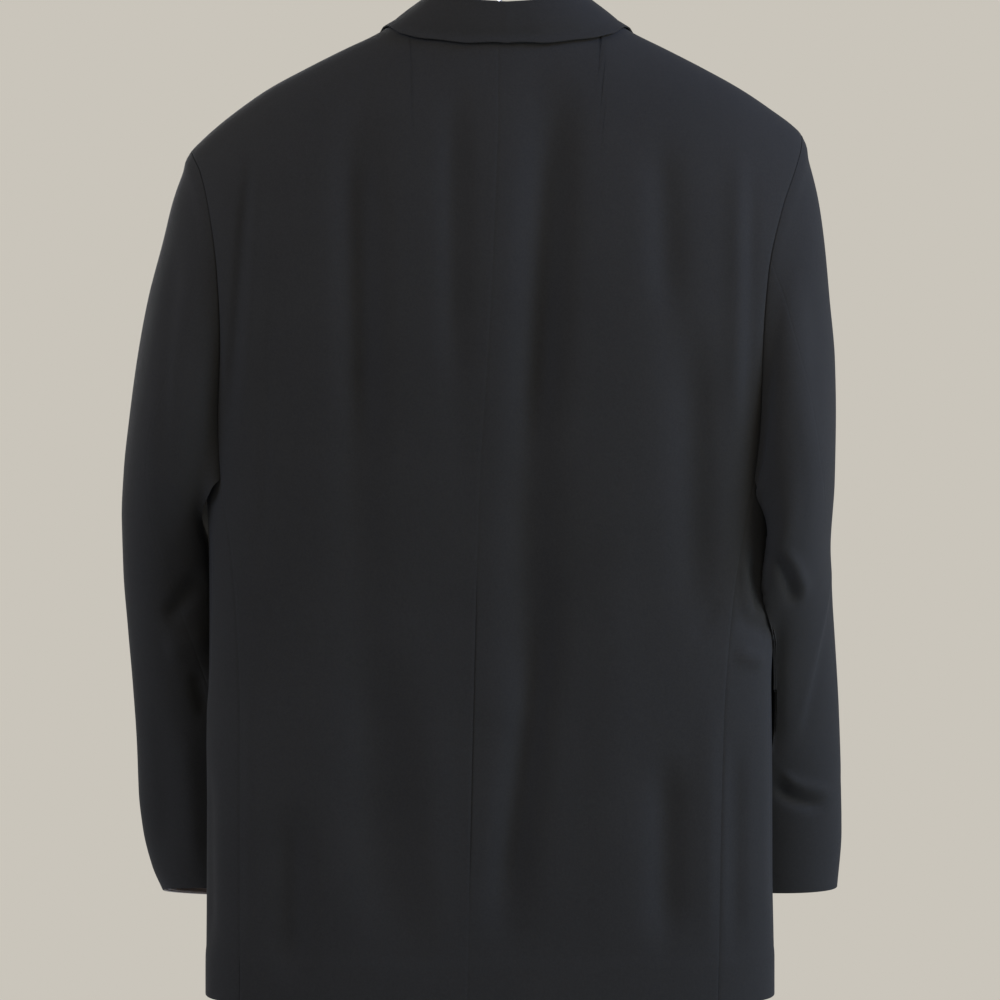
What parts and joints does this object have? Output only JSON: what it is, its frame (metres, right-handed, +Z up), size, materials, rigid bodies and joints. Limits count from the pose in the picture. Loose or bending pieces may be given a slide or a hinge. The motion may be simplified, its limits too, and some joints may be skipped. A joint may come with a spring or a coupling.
{
  "type": "blazer on hanger",
  "caption": "Men's single-breasted tailored jacket in plain black worsted with notch lapels, hanging closed on a shaped hanger with a hook.",
  "frame": {"origin": "the hook's bearing point, at the inner top of its bend", "axes": "+Z up; the garment's front faces -Y and its back faces +Y, so +X is the wearer's left"},
  "size_m": [0.6141, 0.2156, 0.8866],
  "materials": {
    "cloth": "matte worsted wool",
    "lining": "satin lining",
    "buttons": "satin",
    "wood": "varnished",
    "steel": "polished"
  },
  "bodies": {
    "root": {"back_left": "cloth", "back_right": "cloth", "side_left": "cloth", "side_right": "cloth", "front_left": "cloth", "front_right": "cloth", "lapel_left": "cloth", "lapel_right": "cloth", "top_sleeve_left": "cloth", "top_sleeve_right": "cloth", "under_sleeve_left": "cloth", "under_sleeve_right": "cloth", "flap_left": "cloth", "flap_right": "cloth", "welt_breast": "cloth", "collar_fall": "cloth", "collar_stand": "cloth", "cuff_lining_left": "lining", "cuff_lining_right": "lining", "front_button_upper": "buttons", "front_button_lower": "buttons", "sleeve_button_left_1": "buttons", "sleeve_button_left_2": "buttons", "sleeve_button_left_3": "buttons", "sleeve_button_left_4": "buttons", "sleeve_button_right_1": "buttons", "sleeve_button_right_2": "buttons", "sleeve_button_right_3": "buttons", "sleeve_button_right_4": "buttons", "hanger_body": "wood", "hanger_hook": "steel"}
  },
  "joints": []
}
